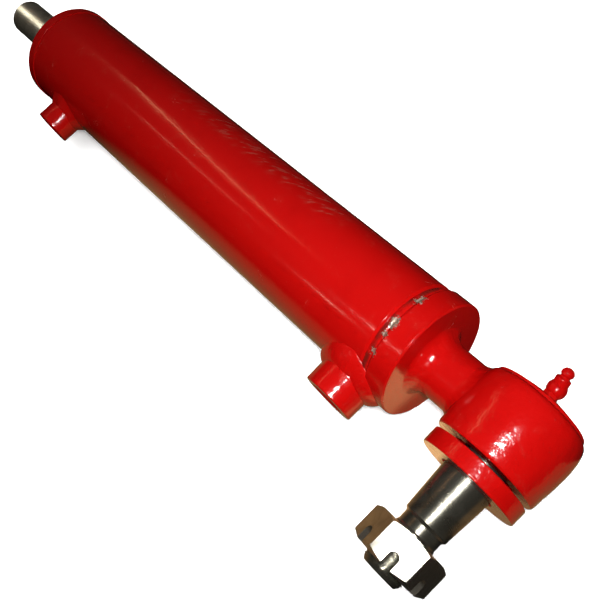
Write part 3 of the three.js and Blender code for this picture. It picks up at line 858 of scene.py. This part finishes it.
gland_bore, gland_body, flange, wiper_seat = 12.075, 25.1, -333.5, 16.0
gland = turned("gland_fine", rounded([
    # the face and the flange
    (wiper_seat, GLAND_FACE_X, 0.3), (29.5, GLAND_FACE_X), (GLAND_R, GLAND_FACE_X, 1.3),
    *evenly(GLAND_R, -338.6, -334.6, 2.0), (GLAND_R, flange, 0.25), (gland_body, flange),
    # the groove for the O-ring, and the nose
    (gland_body, -322.0, 0.2), (22.4, -322.0, 0.2), (22.4, -318.0, 0.2), (gland_body, -318.0, 0.2),
    (gland_body, -308, 0.3), (20, -306, 0.3), (20, -291, 0.5), (gland_bore, -291, 0.4),
    # the grooves for the bush, the rod seal and the wiper
    (gland_bore, -297), (14.4, -297), (14.4, -312), (gland_bore, -312), (gland_bore, -319), (17, -319),
    (17, -326), (gland_bore, -326), (gland_bore, -333.1), (wiper_seat, -333.1),
], closed=True), on_barrel, closed=True, facets=192)
finish(gland, red_cap, "barrel", ["gland"])

wiper = turned("rod_wiper_fine", rounded([
    (12.08, -339.9, 0.1), (13.1, -338.9, 0.3), (13.4, -338.2), (15.7, -338.2, 0.3), (15.7, -333.4, 0.3),
    (12.4, -333.4, 0.3), (12.4, -337.0),
], closed=True), on_barrel, closed=True, facets=96)
finish(wiper, rubber, "barrel", ["rod_wiper"])

rod = turned("piston_rod_fine", rounded([
    (0, ROD_END_X), (7, ROD_END_X), (ROD_R, ROD_END_X, 0.8), *evenly(ROD_R, -400, -72, 8.0),
    (ROD_R, -70.3, 0.3), (8, -70.3, 0.4), (8, -22, 0.2), (7, -20.5, 0.2), (0, -20.5),
]), on_barrel, facets=128)
finish(rod, chrome, "rod", ["piston_rod"])

# ---- pieces inside, carried over ----

# each piece that stays as the CAD made it gets the look of its material slot
slots = {part["node"]: part["material_slot"] for part in frame["record"]["subparts"]}
for node, obj in frame["nodes"].items():
    if obj.hide_render:
        continue
    look = carried_looks[slots[node]]
    obj.data.materials.clear()
    obj.data.materials.append(look)

# ---- floor, camera and light ----

lo, hi = cad_bounds
middle = (lo + hi) / 2


def sweep():
    """A round pale floor that curves up into a wall, so that every view has the same plain ground."""
    facets, steps, reach, bend, top = 96, 16, 3.0, 1.0, 4.0
    outline = [(0.5, 0), (1.2, 0), (reach - bend, 0)]
    outline += [(reach - bend + bend * math.sin(t), bend - bend * math.cos(t))
                for t in (math.pi / 2 * k / steps for k in range(1, steps + 1))] + [(reach, top)]
    verts = [(0, 0, 0)]
    faces = []
    for k, (radius, height) in enumerate(outline):
        for i in range(facets):
            angle = 2 * math.pi * i / facets
            verts.append((radius * math.cos(angle), radius * math.sin(angle), height))
            a, b = 1 + k * facets + i, 1 + k * facets + (i + 1) % facets
            faces.append((0, a, b) if k == 0 else (a - facets, a, b, b - facets))
    mesh = bpy.data.meshes.new("studio_floor")
    mesh.from_pydata(verts, [], faces)
    mesh.shade_smooth()
    return new_object("studio_floor", mesh)


floor = sweep()
# the paper glows a little; it neither shows in the object's reflections nor lights the object
paper = Shader("studio_paper", Roughness=0.9, Specular_IOR_Level=0.1, Emission_Strength=0.22)
paper.surface.inputs["Emission Color"].default_value = rgb(1, 1, 1)
paper.put("Base Color", paper.mix(paper.noise(0.4, 3), rgb(0.93, 0.93, 0.925), rgb(0.90, 0.90, 0.895)))
paper.bumps((paper.noise(0.002, 3), 0.00002))
floor.data.materials.append(paper.material)
floor.visible_glossy = floor.visible_diffuse = floor.visible_shadow = False


def tan_card():
    """A tan card under the object, seen only in its reflections, that fades out towards the rod end
    and away from the barrel, and is brightest by the end cap's face."""
    x0, x1, y0, y1 = -0.55, 0.33, -0.40, 0.05
    notch_x, notch_y, lift = 0.205, -0.022, 0.0002
    side_strength, cap_strength = 0.72, 2.0
    corners = [(x0, y0), (notch_x, y0), (notch_x, notch_y), (x1, notch_y), (x1, y1), (x0, y1)]
    mesh = bpy.data.meshes.new("tan_card")
    mesh.from_pydata([(x, y, lift) for x, y in corners], [], [tuple(range(len(corners)))])
    s = Shader("tan_card", Roughness=1.0, Specular_IOR_Level=0.0)
    s.put("Base Color", rgb(0, 0, 0))
    s.put("Emission Color", s.mix(s.noise(0.03, 4), rgb(0.55, 0.33, 0.15), rgb(0.40, 0.22, 0.09)))
    x, y = s.axis(ALONG), s.axis((0, 1, 0))
    lit = s.math("MULTIPLY", s.band(x, -0.17, -0.06), s.band(y, -0.17, -0.06))
    by_cap = s.math("MULTIPLY", s.band(y, -0.055, -0.045),
                    s.math("MULTIPLY", s.band(x, 0.166, 0.172), s.band(x, 0.186, 0.192, 1, 0)))
    s.put("Emission Strength", s.math("ADD", s.math("MULTIPLY", lit, side_strength),
                                      s.math("MULTIPLY", by_cap, cap_strength)))
    mesh.materials.append(s.material)
    return new_object("tan_card", mesh)


card = tan_card()
card.visible_camera = card.visible_diffuse = card.visible_shadow = False

# the camera, fitted to the photograph
EYE = Vector((0.31664, -0.10822, 0.39847))
LOOK = Vector((-0.51392, 0.25144, -0.82016)).normalized()
RIGHT = LOOK.cross(Vector((-0.57374, 0.61002, 0.54653))).normalized()
TOP = RIGHT.cross(LOOK)
camera = bpy.data.cameras.new("camera")
camera.lens, camera.sensor_width = 52.18, 36
camera.clip_start, camera.clip_end = 0.01, 20
view = new_object("camera", camera)
view.matrix_world = Matrix.Translation(EYE) @ Matrix((RIGHT, TOP, -LOOK)).transposed().to_4x4()
bpy.context.scene.camera = view
bpy.context.scene.view_settings.view_transform = "Standard"


def panel(name, place, towards, size, power, colour=(1, 1, 1), along=None):
    """A soft rectangular light facing a point; along sets the direction of its long side."""
    data = bpy.data.lights.new(name, "AREA")
    data.shape = "RECTANGLE"
    data.size, data.size_y = size
    data.energy = power
    data.color = colour
    lamp = new_object(name, data)
    back = (place - towards).normalized()
    if along is None:
        lamp.rotation_mode = "QUATERNION"
        lamp.rotation_quaternion = back.to_track_quat("Z", "Y")
        lamp.location = place
    else:
        side = (along - back * along.dot(back)).normalized()
        facing = Matrix((side, back.cross(side), back)).transposed().to_4x4()
        lamp.matrix_world = Matrix.Translation(place) @ facing
    return lamp


def glint(name, start, end, width, power, colour=(1, 1, 1), radius=TUBE_R):
    """A thin strip light placed so that the barrel, or the rod, shows it as a line between two
    places, each given by its x and its turn from up towards the stud, in degrees."""
    distance = 1.6
    ends = []
    for x, turn in (start, end):
        turn = math.radians(turn)
        spot = OWN @ Vector(on_barrel(radius, x, turn))
        normal = (spot - (OWN @ Vector((x, 0, 0)))).normalized()
        ray = (spot - EYE).normalized()
        ends.append(spot + (ray - 2 * ray.dot(normal) * normal) * distance)
    place = (ends[0] + ends[1]) / 2
    return panel(name, place, middle, ((ends[1] - ends[0]).length, width), power, colour,
                 along=ends[1] - ends[0])


# a small lamp just behind and above the camera, aimed part way along the barrel
key_place, key_target = EYE - LOOK * 0.05 + TOP * 0.03, OWN @ Vector((-75, 0, 0))
key = panel("key", key_place, key_target, (0.05, 0.05), 1.10)
key.data.spread = math.radians(124)
overhead = panel("overhead", Vector((-0.1, 0.2, 2.0)), middle, (2.2, 2.2), 1.3)
behind = panel("behind", Vector((0.3, 1.8, 0.9)), middle, (1.2, 0.8), 0.6)
for lamp in (overhead, behind):
    lamp.visible_glossy = False
# the thin bright lines along the barrel and the end cap, and the pale band on the rod
glint("strip_a", (-240, -7.0), (-88, 7.6), 0.020, 0.55, (1.0, 0.55, 0.30))
glint("strip_b", (-215, 14.0), (-118, 18.2), 0.014, 0.12, (1.0, 0.6, 0.4))
glint("strip_c", (-58, 29.5), (-39, 29.5), 0.007, 0.16, (1.0, 0.65, 0.5))
glint("strip_d", (-24, 22.2), (-1.5, 21.8), 0.008, 0.24, (1.0, 0.75, 0.65))
rod_lamp = glint("rod_strip", (-400, 6), (-350, 6), 0.45, 6.0, (1.0, 0.96, 0.86), ROD_R)


def lit_alone(obj, *lamps):
    """Makes lamps shine on one piece only."""
    group = bpy.data.collections.new("only_" + obj.name)
    group.objects.link(obj)
    for lamp in lamps:
        lamp.light_linking.receiver_collection = group


lit_alone(rod, rod_lamp)
# two lights for the floor alone keep it evenly pale
wash_size, wash_power = (2.6, 2.6), 85
wash_places = (Vector((0.8, -0.6, 2.4)), Vector((-0.8, 0.6, 2.4)))
lit_alone(floor, *(panel(f"floor_wash_{k}", place, Vector((0, 0, 0)), wash_size, wash_power)
                   for k, place in enumerate(wash_places)))

# a dark room, a little lighter overhead
world = bpy.data.worlds.new("studio")
bpy.context.scene.world = world
world.use_nodes = True
tree = world.node_tree
background = tree.nodes["Background"]
coords = tree.nodes.new("ShaderNodeTexCoord")
split = tree.nodes.new("ShaderNodeSeparateXYZ")
tree.links.new(coords.outputs["Generated"], split.inputs[0])
height = tree.nodes.new("ShaderNodeMapRange")
height.interpolation_type = "SMOOTHSTEP"
for socket, number in zip(height.inputs[1:], (0.15, 0.9, 0.0, 1.0)):
    socket.default_value = number
tree.links.new(split.outputs["Z"], height.inputs[0])
sky = tree.nodes.new("ShaderNodeMix")
sky.data_type = "RGBA"
sky.inputs[6].default_value = rgb(0.012, 0.010, 0.008)
sky.inputs[7].default_value = rgb(0.035, 0.035, 0.036)
tree.links.new(height.outputs[0], sky.inputs["Factor"])
tree.links.new(sky.outputs[2], background.inputs["Color"])
background.inputs["Strength"].default_value = 1.0
